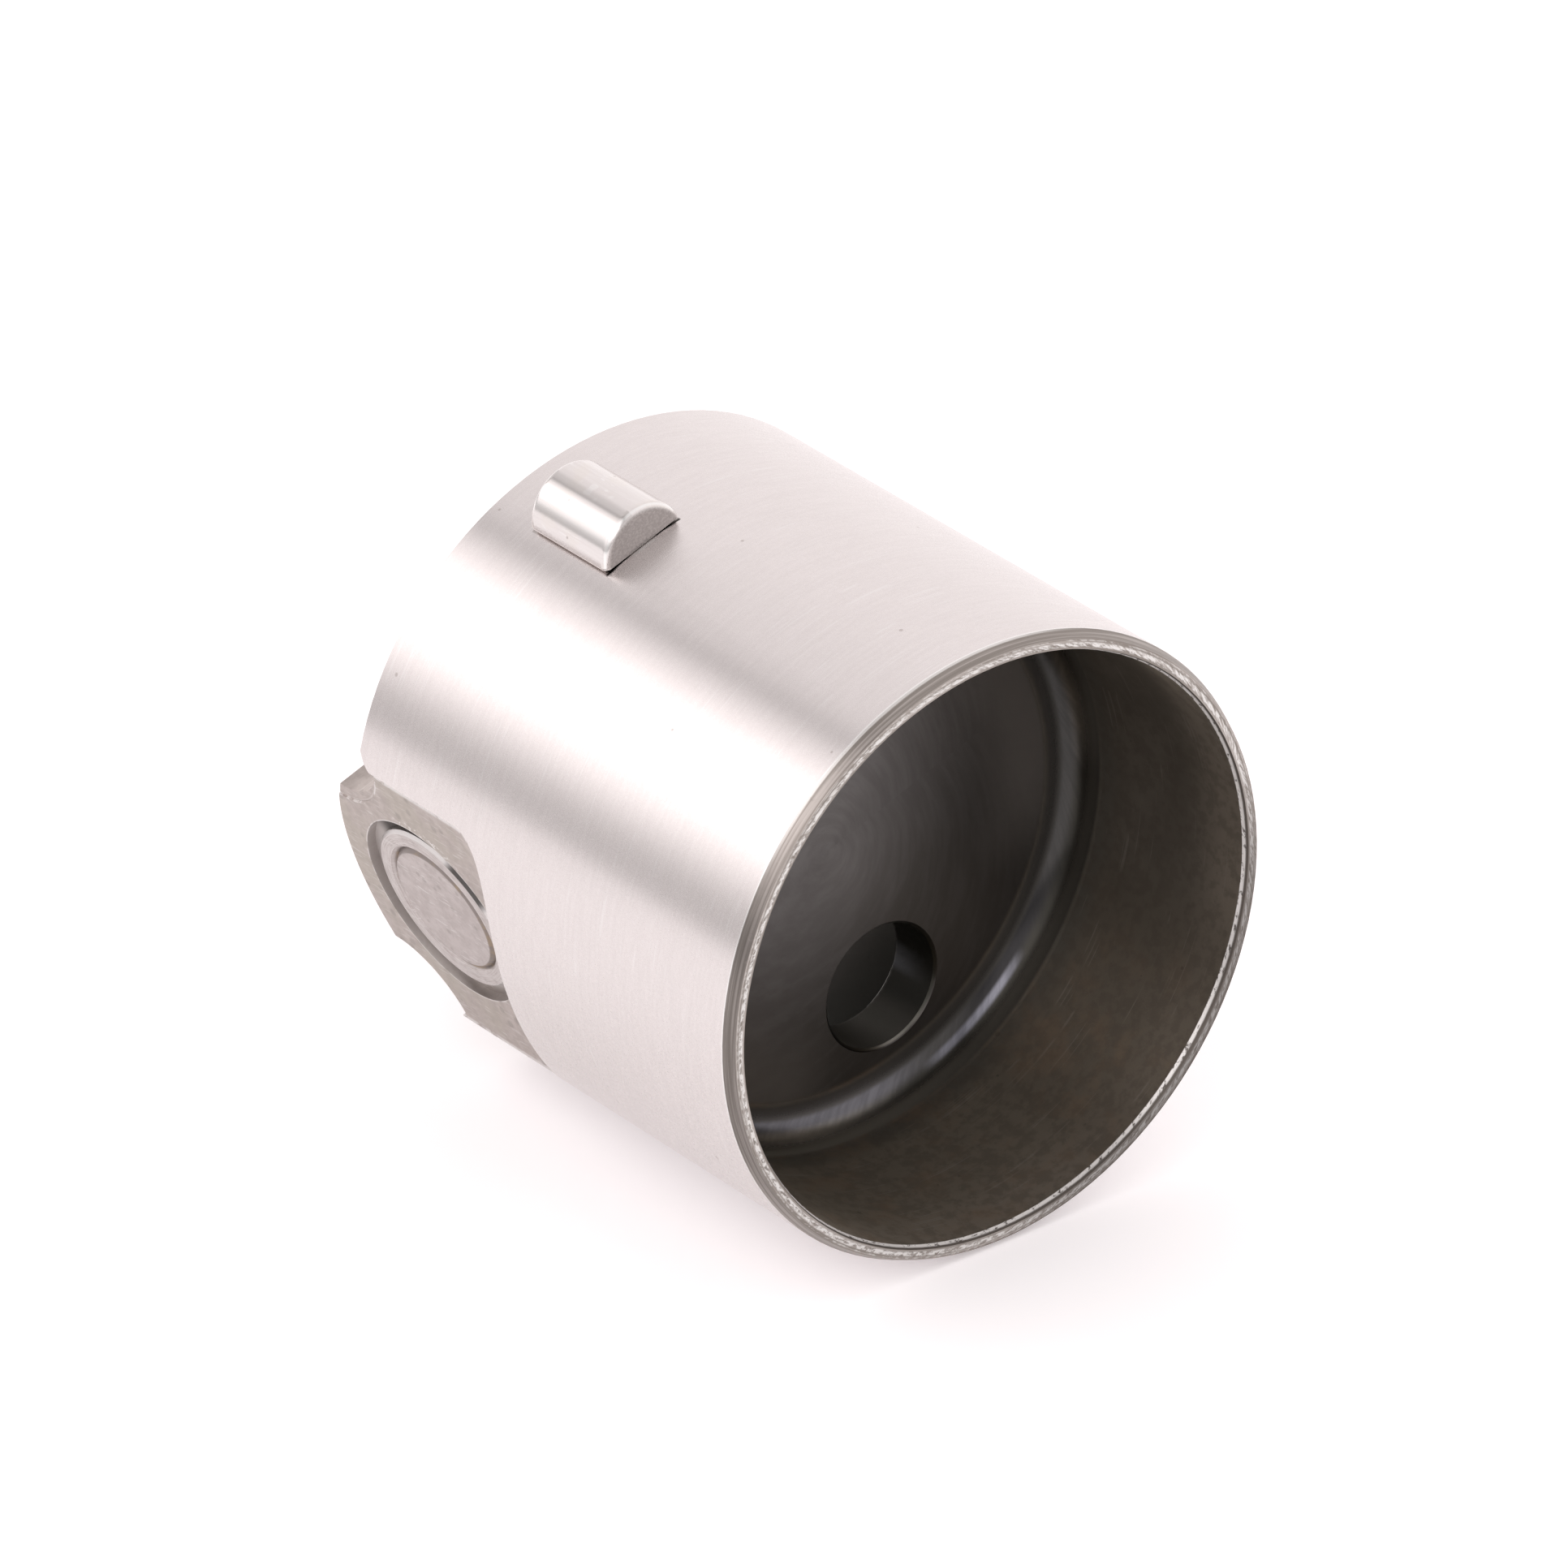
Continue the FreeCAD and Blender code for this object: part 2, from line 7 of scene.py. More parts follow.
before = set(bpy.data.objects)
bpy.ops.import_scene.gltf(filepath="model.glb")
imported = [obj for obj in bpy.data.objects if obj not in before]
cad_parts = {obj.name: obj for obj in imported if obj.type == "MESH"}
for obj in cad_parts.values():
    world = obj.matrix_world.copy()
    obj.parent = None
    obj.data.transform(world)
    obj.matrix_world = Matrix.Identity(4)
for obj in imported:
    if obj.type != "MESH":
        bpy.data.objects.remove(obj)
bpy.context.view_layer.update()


# The bucket: one steel forging, hardened, then ground to size round the outside.
# The cup is turned and stained by warm oil, the ears and the roller's pocket keep
# the matt skin of the tumbling drum, and the rim is turned last of all.
class Wiring:
    """Adds the nodes of one shader tree and joins them."""

    def __init__(self, tree):
        self.tree = tree

    def feed(self, socket, value):
        if hasattr(value, "is_output"):
            self.tree.links.new(value, socket)
        elif socket.type == "RGBA":
            socket.default_value = (*value, 1.0)
        else:
            socket.default_value = value

    def add(self, kind, settings=None, **inputs):
        node = self.tree.nodes.new(kind)
        for key, value in (settings or {}).items():
            setattr(node, key, value)
        for key, value in inputs.items():
            self.feed(node.inputs[key.replace("_", " ")], value)
        return node

    def calc(self, operation, a, b=0.0, c=0.0):
        node = self.add("ShaderNodeMath", {"operation": operation})
        for socket, value in zip(node.inputs, (a, b, c)):
            self.feed(socket, value)
        return node.outputs[0]

    def times(self, a, b):
        return self.calc("MULTIPLY", a, b)

    def less(self, a, b):
        return self.calc("SUBTRACT", a, b)

    def scaled_sum(self, a, scale, b):
        return self.calc("MULTIPLY_ADD", a, scale, b)

    def distance(self, a, b):
        return self.calc("SQRT", self.calc("ADD", self.times(a, a), self.times(b, b)))

    def facing(self, a, b, length, degrees):
        """One on the side at that angle from a towards b, nought a quarter turn away."""
        angle = math.radians(degrees)
        along = self.scaled_sum(a, math.cos(angle), self.times(b, math.sin(angle)))
        return self.calc("DIVIDE", along, length)

    def fade(self, value, low, high, start=0.0, end=1.0):
        node = self.add("ShaderNodeMapRange", {"interpolation_type": "SMOOTHSTEP"})
        for socket, item in zip(node.inputs, (value, low, high, start, end)):
            self.feed(socket, item)
        return node.outputs[0]

    def bend_fade(self, bend, low, high, start=0.0, end=1.0):
        return self.fade(bend, math.radians(low), math.radians(high), start, end)

    def all_of(self, *masks):
        product = masks[0]
        for mask in masks[1:]:
            product = self.times(product, mask)
        return product

    def any_of(self, *masks):
        most = masks[0]
        for mask in masks[1:]:
            most = self.calc("MAXIMUM", most, mask)
        return most

    def band(self, value, low, high, soft):
        rise = self.fade(value, low - soft, low + soft)
        return self.all_of(rise, self.fade(value, high + soft, high - soft))

    def paint(self, mask, under, over, strength=1.0):
        """Lays one tone over another where the mask is one, as strongly as it is told."""
        if strength != 1.0:
            mask = self.times(mask, strength)
        node = self.add("ShaderNodeMix", {"data_type": "RGBA"})
        for socket, value in ((0, mask), (6, under), (7, over)):
            self.feed(node.inputs[socket], value)
        return node.outputs[2]

    def noise(self, place, scale, detail, rough):
        node = self.add("ShaderNodeTexNoise", Vector=place, Scale=scale, Detail=detail,
                        Roughness=rough)
        return node.outputs["Fac"]

    def point(self, x, y, z):
        return self.add("ShaderNodeCombineXYZ", X=x, Y=y, Z=z).outputs[0]

    def stretch(self, place, scale, turn=(0.0, 0.0, 0.0)):
        node = self.add("ShaderNodeMapping", Vector=place, Scale=scale, Rotation=turn)
        return node.outputs[0]

    def effect(self, name, **inputs):
        node = self.add("ShaderNodeGroup", {"node_tree": bpy.data.node_groups[name]})
        for key, value in inputs.items():
            self.feed(node.inputs[key], value)
        return SimpleNamespace(**{socket.name: socket for socket in node.outputs})

    def steel(self, base, rough, height, depth, brushed=0.0):
        """A bare steel surface. Height counts in depths, and a depth in millimetres."""
        bump = self.add("ShaderNodeBump", Strength=1.0, Distance=depth / 1000.0, Height=height)
        shader = self.add("ShaderNodeBsdfPrincipled", Base_Color=base, Metallic=1.0,
                          Roughness=rough, Anisotropic=brushed, Normal=bump.outputs[0])
        if brushed:
            # a quarter turn, so that the lamp's image spreads across the turned lines
            shader.inputs["Anisotropic Rotation"].default_value = 0.25
            axis = self.add("ShaderNodeTangent", {"direction_type": "RADIAL", "axis": "Z"})
            self.feed(shader.inputs["Tangent"], axis.outputs[0])
        out = self.add("ShaderNodeOutputMaterial")
        self.feed(out.inputs["Surface"], shader.outputs[0])


def new_effect(name, inputs, outputs):
    tree = bpy.data.node_groups.new(name, "ShaderNodeTree")
    for label, kind in inputs:
        tree.interface.new_socket(label, in_out="INPUT", socket_type="NodeSocket" + kind)
    for label in outputs:
        kind = "NodeSocketVector" if label in ("mm", "wrapped") else "NodeSocketFloat"
        tree.interface.new_socket(label, in_out="OUTPUT", socket_type=kind)
    given = tree.nodes.new("NodeGroupInput").outputs
    results = tree.nodes.new("NodeGroupOutput").inputs
    return Wiring(tree), given, results


def new_steel(name):
    look = bpy.data.materials.new(name)
    look.use_nodes = True
    look.node_tree.nodes.clear()
    return look, Wiring(look.node_tree)


def dress(name, look):
    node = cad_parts[name]
    node.data.materials.clear()
    node.data.materials.append(look)


# Where a point lies on the bucket, in millimetres: as it is, unrolled round the axis,
# its distance from the axis, and how far its surface faces outwards
def build_place():
    labels = ("mm", "wrapped", "x", "y", "z", "radius", "nx", "nz", "outward")
    w, _, results = new_effect("place on the bucket", [], labels)
    coordinates = w.add("ShaderNodeTexCoord").outputs["Object"]
    mm = w.add("ShaderNodeVectorMath", {"operation": "SCALE"}, Scale=1000.0)
    w.feed(mm.inputs[0], coordinates)
    x, y, z = w.add("ShaderNodeSeparateXYZ", Vector=mm.outputs[0]).outputs
    radius = w.distance(x, y)
    turn = w.calc("ARCTAN2", y, x)
    normal = w.add("ShaderNodeNewGeometry").outputs["Normal"]
    nx, ny, nz = w.add("ShaderNodeSeparateXYZ", Vector=normal).outputs
    lean = w.calc("ADD", w.times(x, nx), w.times(y, ny))
    outward = w.calc("DIVIDE", lean, w.calc("MAXIMUM", radius, 0.001))
    wrapped = w.point(w.times(turn, radius), z, radius)
    values = (mm.outputs[0], wrapped, x, y, z, radius, nx, nz, outward)
    for label, value in zip(labels, values):
        w.feed(results[label], value)


# Handling scratches: thin straight marks in three directions, thinned out by a cloud
def build_scratches():
    w, given, results = new_effect(
        "handling scratches", [("place", "Vector"), ("size", "Float"), ("share", "Float")],
        ("mark",))
    sized = w.add("ShaderNodeVectorMath", {"operation": "SCALE"})
    w.feed(sized.inputs[0], given["place"])
    w.feed(sized.inputs["Scale"], given["size"])
    faint, full = 0.73, 0.78
    marks = []
    for turn, along, across in ((0.35, 0.10, 8.0), (1.35, 0.14, 10.0), (2.45, 0.12, 9.0)):
        turned = w.stretch(sized.outputs[0], (along, across, 0.9),
                           (turn * 0.6, turn * 0.3, turn))
        marks.append(w.fade(w.noise(turned, 1.0, 0.0, 0.5), faint, full))
    cloud = w.noise(sized.outputs[0], 0.45, 2.0, 0.5)
    keep = w.fade(cloud, w.less(0.75, given["share"]), w.less(0.85, given["share"]))
    w.feed(results["mark"], w.all_of(w.any_of(*marks), keep))


# Pits and specks: tiny round dents or dark dots, a few to the square centimetre
def build_specks():
    w, given, results = new_effect(
        "specks", [("place", "Vector"), ("spacing", "Float"), ("width", "Float")], ("mark",))
    scale = w.calc("DIVIDE", 1.0, given["spacing"])
    cells = w.add("ShaderNodeTexVoronoi", Vector=given["place"], Scale=scale)
    chance = w.add("ShaderNodeSeparateColor", Color=cells.outputs["Color"]).outputs[0]
    size = w.times(w.calc("DIVIDE", given["width"], given["spacing"]), chance)
    w.feed(results["mark"], w.fade(cells.outputs["Distance"], size, w.times(size, 0.6)))


build_place()
build_scratches()
build_specks()

GUIDE_RADIUS = 15.5
BORE_RADIUS = 14.6
CUP_DEPTH = 12.2
CUP_FILLET = 1.9
FLOOR_RADIUS = BORE_RADIUS - CUP_FILLET
FILLET_START = CUP_DEPTH - CUP_FILLET
WEB_TOP = 15.3
RIM_CHAMFER_HEIGHT = 0.62
MOUTH_CHAMFER_HEIGHT = 0.32
OIL_HOLE_RADIUS = 3.16
OIL_HOLE_Y = 5.75 - BORE_RADIUS
POCKET_HALF_WIDTH = 7.2
POCKET_RADIUS = 13.3
AXLE_HEIGHT = 25.2
RECESS_RADIUS = 5.12
FLAT = 13.37
HOLLOW_RADIUS = 4.05
HOLLOW_Y = 4.6 + HOLLOW_RADIUS
HOLLOW_Z = 31.8 - 1.1
KEY_BOTTOM = 19.2
KEY_TOP = 24.9
KEY_HALF_WIDTH = 2.33
KEY_SEAT_Y = 14.25

# Sides of the bucket, in degrees round its axis from +x: the cup's lit side, where light is
# painted on its wall, and its shaded side, where shade is painted; where the bend's painted
# glint is brightest; and the two sides of the rim where shade is painted, the first more darkly
LIT_SIDE = -75.0
SHADED_SIDE = -120.0
GLINT_SIDE = -106.0
RIM_SHADE_SIDE = -125.0
RIM_HALF_SHADE_SIDE = 20.0

# Sides of the oil hole round its own axis from +x, where its painted highlight and painted light
# fall, and of the axle from +y
HOLE_HIGHLIGHT_SIDE = -150.0
HOLE_LIT_SIDE = -51.0
AXLE_KEY_SIDE = -12.0


# Where a point lies from each hole and hollow, and the grain of the steel there.
# Toward is one at the ear on +x and minus one at the ear opposite it.
def bucket_spot(w):
    at = w.effect("place on the bucket")
    at.side = w.calc("ABSOLUTE", at.x)
    at.up = w.less(at.z, AXLE_HEIGHT)
    at.from_axle = w.distance(at.y, at.up)
    at.past_hole = w.less(at.y, OIL_HOLE_Y)
    at.from_hole = w.distance(at.x, at.past_hole)
    at.from_hollow = w.distance(w.less(at.y, HOLLOW_Y), w.less(at.z, HOLLOW_Z))
    at.key_side = w.facing(at.y, at.up, at.from_axle, AXLE_KEY_SIDE)
    # painted light and shade on the cup: how far a point faces its lit side and its shaded side
    at.pale = w.facing(at.x, at.y, at.radius, LIT_SIDE)
    at.dark = w.facing(at.x, at.y, at.radius, SHADED_SIDE)
    at.toward = w.calc("DIVIDE", at.x, at.radius)
    at.bend = w.calc("ARCTAN2", w.less(at.z, FILLET_START), w.less(at.radius, FLOOR_RADIUS))
    at.cloud = w.noise(at.mm, 0.30, 3.0, 0.5)
    at.lumps = w.noise(at.mm, 1.5, 6.0, 0.62)
    at.grain = w.noise(at.mm, 9.0, 4.0, 0.7)
    at.lines = w.noise(w.stretch(at.wrapped, (0.5, 4.5, 4.5)), 1.0, 5.0, 0.64)
    at.fine = w.noise(at.mm, 5.5, 4.0, 0.75)
    at.turned = w.noise(w.stretch(at.wrapped, (0.10, 8.0, 8.0)), 1.0, 3.0, 0.6)
    at.marks = w.effect("handling scratches", place=at.wrapped, size=0.8, share=0.26).mark
    at.dents = w.effect("specks", place=at.mm, spacing=0.9, width=0.30).mark
    return at


# The bucket's regions: each mask is one inside its own and nought outside it
def mark_regions(w, at):
    at.outer_side = w.fade(at.outward, 0.5, 0.7)
    at.ground = w.all_of(w.fade(at.radius, GUIDE_RADIUS - 0.05, GUIDE_RADIUS - 0.02),
                         w.fade(at.outward, 0.93, 0.97))
    at.rim_slope = w.all_of(
        w.fade(at.z, RIM_CHAMFER_HEIGHT + 0.03, RIM_CHAMFER_HEIGHT - 0.03), at.outer_side)
    at.rim_face = w.all_of(w.fade(at.z, 0.05, 0.02), w.fade(at.nz, -0.8, -0.95))
    at.mouth = w.all_of(
        w.fade(at.z, MOUTH_CHAMFER_HEIGHT + 0.02, MOUTH_CHAMFER_HEIGHT - 0.02),
        w.fade(at.outward, -0.5, -0.7))
    at.cup = w.all_of(w.fade(at.radius, BORE_RADIUS + 0.08, BORE_RADIUS + 0.03),
                      w.fade(at.z, CUP_DEPTH + 0.2, CUP_DEPTH + 0.05))
    at.cup_floor = w.all_of(at.cup, w.fade(at.z, CUP_DEPTH - 0.25, CUP_DEPTH - 0.05),
                            w.fade(at.radius, FLOOR_RADIUS + 0.15, FLOOR_RADIUS - 0.2))
    at.fillet = w.all_of(at.cup, w.fade(at.z, FILLET_START - 0.2, FILLET_START + 0.1),
                         w.fade(at.radius, FLOOR_RADIUS - 0.1, FLOOR_RADIUS + 0.3))
    at.hole = w.all_of(w.fade(at.from_hole, OIL_HOLE_RADIUS + 0.3, OIL_HOLE_RADIUS + 0.2),
                       w.fade(at.z, CUP_DEPTH + 0.02, CUP_DEPTH + 0.08),
                       w.fade(at.z, WEB_TOP + 0.1, WEB_TOP))
    at.pocket = w.all_of(w.fade(at.side, POCKET_HALF_WIDTH + 0.1, POCKET_HALF_WIDTH + 0.02),
                         w.fade(at.z, WEB_TOP - 0.3, WEB_TOP - 0.1),
                         w.fade(at.radius, POCKET_RADIUS + 0.1, POCKET_RADIUS - 0.05))
    at.recess = w.all_of(w.fade(at.from_axle, RECESS_RADIUS + 0.03, RECESS_RADIUS - 0.02),
                         w.fade(at.side, FLAT - 1.0, FLAT - 0.9))
    at.under_key = w.all_of(w.fade(at.side, KEY_HALF_WIDTH - 0.02, KEY_HALF_WIDTH - 0.12),
                            w.fade(at.y, KEY_SEAT_Y - 0.25, KEY_SEAT_Y + 0.25),
                            w.band(at.z, KEY_BOTTOM + 0.05, KEY_TOP - 0.05, 0.02))


# Ground guide surface: fine lines round it, soft clouds, a few scratches and specks
def guide_tone(w, at):
    dots = w.effect("specks", place=at.mm, spacing=2.6, width=0.16).mark
    bright = w.paint(w.fade(at.lines, 0.3, 0.7), (0.708, 0.666, 0.660), (0.748, 0.705, 0.699))
    bright = w.paint(w.fade(at.fine, 0.35, 0.7), w.paint(0.3, bright, (0.677, 0.633, 0.627)),
                     w.paint(0.2, bright, (0.785, 0.748, 0.742)))
    bright = w.paint(at.marks, bright, (0.844, 0.840, 0.833), 0.22)
    return w.paint(dots, bright, (0.334, 0.287, 0.267), 0.5)


# Tumbled skin of the ears, with light rubbed edges, the burrs of the staking, and painted light
# on the hollow's wall and along the step
def tumbled_tone(w, at):
    rubs = w.effect("handling scratches", place=at.mm, size=1.1, share=0.46).mark
    matt = w.paint(w.fade(at.lumps, 0.3, 0.7), (0.432, 0.384, 0.362), (0.535, 0.483, 0.458))
    matt = w.paint(w.fade(at.cloud, 0.45, 0.6), matt, (0.466, 0.435, 0.375), 0.4)
    matt = w.paint(w.fade(at.grain, 0.5, 0.75), matt, (0.569, 0.532, 0.514), 0.3)
    matt = w.paint(rubs, matt, (0.726, 0.707, 0.699), 0.35)
    matt = w.paint(at.dents, matt, (0.275, 0.246, 0.231), 0.35)
    on_flat = w.fade(at.side, FLAT - 0.1, FLAT - 0.05)
    recess_edge = w.all_of(w.band(at.from_axle, RECESS_RADIUS - 0.01, RECESS_RADIUS + 0.06, 0.03),
                           on_flat, w.fade(at.lumps, 0.40, 0.5))
    burrs = w.all_of(w.band(at.from_axle, RECESS_RADIUS, RECESS_RADIUS + 0.42, 0.1), on_flat,
                     w.fade(at.key_side, 0.86, 0.96),
                     w.fade(w.noise(at.mm, 3.2, 5.0, 0.7), 0.53, 0.58))
    flat_edge = w.all_of(w.fade(at.radius, GUIDE_RADIUS - 0.16, GUIDE_RADIUS - 0.05),
                         w.fade(at.lumps, 0.35, 0.45))
    # a light line along the step's edge, rubbed light and painted over the step's shade
    step_edge = w.all_of(w.band(at.from_hollow, HOLLOW_RADIUS - 0.06, HOLLOW_RADIUS + 0.06, 0.04),
                         w.fade(at.side, FLAT - 0.3, FLAT - 0.2), w.fade(at.lumps, 0.46, 0.56))
    # painted light: the hollow's wall lightened
    hollow_wall = w.all_of(
        w.band(at.from_hollow, HOLLOW_RADIUS - 0.12, HOLLOW_RADIUS + 0.12, 0.03),
        w.fade(at.side, FLAT - 0.02, FLAT - 0.08),
        w.fade(at.side, POCKET_HALF_WIDTH + 0.3, POCKET_HALF_WIDTH + 0.8))
    matt = w.paint(hollow_wall, matt, (0.720, 0.680, 0.660), 0.55)
    rubbed_and_lit = w.any_of(recess_edge, flat_edge, step_edge, burrs)
    return w.paint(rubbed_and_lit, matt, (0.785, 0.768, 0.761), 0.75)


# Oil stain on the cup's wall, with rust, and painted light and shade on it: lighter near the
# mouth and on its lit side, darker on its shaded side and deep down
def stain_tone(w, at):
    dots = w.effect("specks", place=at.mm, spacing=1.9, width=0.18).mark
    stain = w.paint(w.fade(at.cloud, 0.3, 0.7), (0.156, 0.136, 0.112), (0.189, 0.166, 0.138))
    # painted light on the lit side and near the mouth, painted shade on the shaded side and deep
    # down
    stain = w.paint(w.fade(at.pale, 0.2, 0.95), stain, (0.246, 0.214, 0.171))
    stain = w.paint(w.fade(at.z, 4.5, 0.8), stain, (0.281, 0.242, 0.198))
    stain = w.paint(w.fade(at.dark, 0.86, 0.99, 0.0, 0.55), stain, (0.151, 0.127, 0.100))
    stain = w.paint(w.fade(at.z, 8.6, 10.2), stain, (0.153, 0.140, 0.119))
    stain = w.paint(dots, stain, (0.098, 0.085, 0.068), 0.6)
    stain = w.paint(w.fade(at.lumps, 0.42, 0.60, 0.0, 0.38), stain, (0.128, 0.108, 0.086))
    stain = w.paint(at.marks, stain, (0.420, 0.385, 0.345), 0.22)
    rust = w.all_of(w.fade(w.noise(at.mm, 0.35, 5.0, 0.65), 0.45, 0.70),
                    w.fade(at.pale, 0.3, 0.9))
    return w.paint(rust, stain, (0.291, 0.200, 0.132), 0.35)


# The cup's bend, in degrees from the wall to the floor, with painted light and shade:
# painted shade at the foot of the wall, painted light lower on the bend towards the ear
# on +x, a painted reflection of the room half way round with a painted glint in it, and
# darker again where it meets the floor
def bend_tone(w, at, stain):
    away = w.fade(at.toward, -0.92, -0.995)
    streaks = w.noise(w.stretch(at.wrapped, (1.8, 0.5, 0.5)), 1.0, 5.0, 0.65)
    # painted shade at the foot of the wall, lighter towards the ear on +x
    lower = w.paint(w.fade(at.toward, -0.55, 0.65), (0.067, 0.062, 0.053), (0.218, 0.202, 0.172))
    lower = w.paint(away, lower, (0.118, 0.109, 0.094))
    tone = w.paint(w.bend_fade(at.bend, 3.0, 10.0), stain, lower)
    # painted light on the bend towards the ear on +x
    root = w.paint(w.fade(at.toward, 0.0, 0.75), (0.043, 0.041, 0.036), (0.470, 0.445, 0.410))
    root = w.paint(away, root, (0.152, 0.142, 0.130))
    tone = w.paint(w.bend_fade(at.bend, 20.0, 33.0), tone, root)
    # a painted reflection of the room, darker on the shaded side
    painted_reflection = w.paint(w.fade(at.toward, -0.12, 0.22), (0.066, 0.064, 0.062),
                       (0.136, 0.134, 0.147))
    painted_reflection = w.paint(w.fade(at.dark, 0.94, 0.995), painted_reflection, (0.031, 0.030, 0.031))
    tone = w.paint(w.bend_fade(at.bend, 37.0, 53.0), tone, painted_reflection)
    # a painted glint in the reflection
    glint = w.all_of(
        w.fade(w.facing(at.x, at.y, at.radius, GLINT_SIDE), 0.962, 0.996),
        w.band(at.bend, math.radians(38.0), math.radians(48.5), math.radians(3.5)))
    tone = w.paint(glint, tone, (0.195, 0.196, 0.226))
    tone = w.paint(w.all_of(w.fade(streaks, 0.35, 0.65),
                            w.bend_fade(at.bend, 30.0, 38.0, 0.0, 0.26)),
                   tone, (0.020, 0.020, 0.021))
    upper = w.paint(w.fade(at.toward, -0.1, 0.3), (0.042, 0.040, 0.037), (0.076, 0.072, 0.070))
    upper = w.paint(w.bend_fade(at.bend, 71.0, 88.0), upper, (0.092, 0.087, 0.081))
    return w.paint(w.bend_fade(at.bend, 60.0, 67.0), tone, upper)


# The cup's floor: a dark stain with painted light, paler towards the open side, and the arcs of
# the tool
def floor_tone(w, at):
    arcs_x, arcs_y, arcs_to_the_mm = 4.2, -1.2, 0.62
    scuffs = w.noise(w.stretch(at.wrapped, (0.7, 0.7, 0.9)), 1.1, 5.0, 0.6)
    from_arcs = w.distance(w.less(at.x, arcs_x), w.less(at.y, arcs_y))
    rings = w.calc("FRACT", w.times(from_arcs, arcs_to_the_mm))
    arcs = w.all_of(w.band(rings, 0.42, 0.50, 0.06), w.fade(at.x, 1.0, 6.0),
                    w.fade(scuffs, 0.42, 0.6))
    scuffed = w.fade(scuffs, 0.35, 0.7)
    dim = w.paint(scuffed, (0.070, 0.065, 0.060), (0.082, 0.077, 0.073))
    pale = w.paint(scuffed, (0.132, 0.125, 0.123), (0.154, 0.147, 0.145))
    # painted light: the floor lighter towards the open side
    across = w.scaled_sum(at.x, 0.5, w.times(at.y, 0.866))
    tone = w.paint(w.fade(across, -7.5, -0.5), dim, pale)
    pale_edge = w.all_of(w.fade(at.radius, 8.0, 12.5), w.any_of(
        w.fade(at.toward, -0.66, -1.0), w.fade(at.toward, 0.25, 0.55, 0.0, 0.6)))
    tone = w.paint(pale_edge, tone, (0.215, 0.203, 0.195))
    return w.paint(arcs, tone, (0.157, 0.152, 0.149), 0.35)


# The turned rim: a slope outside, a flat face with two ragged bright lines, and a small
# chamfer into the mouth. Painted shade darkens one side more than the rest, and painted
# highlights run along its outer edge.
def paint_rim(w, at, base):
    dark, bright = (0.055, 0.048, 0.043), (0.760, 0.745, 0.728)
    feed_lines = w.fade(at.turned, 0.40, 0.66)
    ragged = w.noise(w.stretch(at.wrapped, (2.6, 4.0, 5.0)), 1.0, 4.0, 0.7)
    # painted shade: darker on one side of the rim, a little darker on another
    rim_shade = w.fade(w.facing(at.x, at.y, at.radius, RIM_SHADE_SIDE), 0.50, 0.95)
    rim_half_shade = w.fade(w.facing(at.x, at.y, at.radius, RIM_HALF_SHADE_SIDE), 0.72, 0.97, 0.0, 0.40)
    slope = w.paint(feed_lines, (0.262, 0.236, 0.216), (0.440, 0.402, 0.380))
    slope = w.paint(rim_half_shade, slope, dark)
    slope = w.paint(rim_shade, slope, dark, 0.52)
    base = w.paint(at.rim_slope, base, slope)
    # painted highlights along the rim's outer edge, broad on the +y side and fine all round
    broad_highlight = w.all_of(
        w.band(at.z, RIM_CHAMFER_HEIGHT - 0.12, RIM_CHAMFER_HEIGHT, 0.03), at.outer_side,
        w.fade(w.calc("DIVIDE", at.y, at.radius), 0.75, 0.95))
    base = w.paint(broad_highlight, base, bright, 0.8)
    fine_highlight = w.all_of(
        w.band(at.z, RIM_CHAMFER_HEIGHT - 0.02, RIM_CHAMFER_HEIGHT + 0.05, 0.025),
        at.outer_side)
    base = w.paint(fine_highlight, base, (0.903, 0.891, 0.884), 0.8)

    inner_line = w.all_of(w.band(at.radius, BORE_RADIUS + 0.22, BORE_RADIUS + 0.44, 0.04),
                          w.fade(ragged, 0.42, 0.56))
    outer_line = w.all_of(w.band(at.radius, GUIDE_RADIUS - 0.40, GUIDE_RADIUS - 0.33, 0.03),
                          w.fade(ragged, 0.46, 0.58))
    face = w.paint(feed_lines, (0.265, 0.238, 0.215), (0.470, 0.432, 0.405))
    face = w.paint(w.any_of(inner_line, w.times(outer_line, 0.6)), face, bright)
    face = w.paint(rim_shade, face, (0.060, 0.053, 0.047), 0.60)
    base = w.paint(at.rim_face, base, face)
    mouth_line = w.all_of(w.band(at.z, 0.13, 0.31, 0.04), w.fade(ragged, 0.36, 0.48))
    mouth = w.paint(mouth_line, (0.150, 0.132, 0.118), (0.930, 0.905, 0.885))
    return w.paint(at.mouth, base, mouth)


# The oil hole's wall, painted dark as shade, with a painted highlight down one side, painted
# light on another, and a painted highlight on the edge at its outlet
def paint_hole(w, at, base):
    hole_highlight_side = w.facing(at.x, at.past_hole, at.from_hole, HOLE_HIGHLIGHT_SIDE)
    pale_side = w.facing(at.x, at.past_hole, at.from_hole, HOLE_LIT_SIDE)
    # painted highlight down one side of the hole's wall
    hole_highlight = w.all_of(w.fade(hole_highlight_side, 0.965, 0.998),
                      w.fade(at.z, CUP_DEPTH + 0.2, WEB_TOP))
    drilled = w.paint(hole_highlight, (0.058, 0.057, 0.050), (0.170, 0.176, 0.190))
    drilled = w.paint(w.fade(pale_side, 0.3, 0.9), drilled, (0.200, 0.192, 0.172))
    base = w.paint(at.hole, base, drilled)
    # painted highlight on the outlet's edge
    outlet_highlight = w.all_of(
        w.band(at.from_hole, OIL_HOLE_RADIUS + 0.02, OIL_HOLE_RADIUS + 0.3, 0.04),
        w.fade(at.z, WEB_TOP - 0.4, WEB_TOP - 0.26))
    return w.paint(outlet_highlight, base, (0.687, 0.676, 0.637))


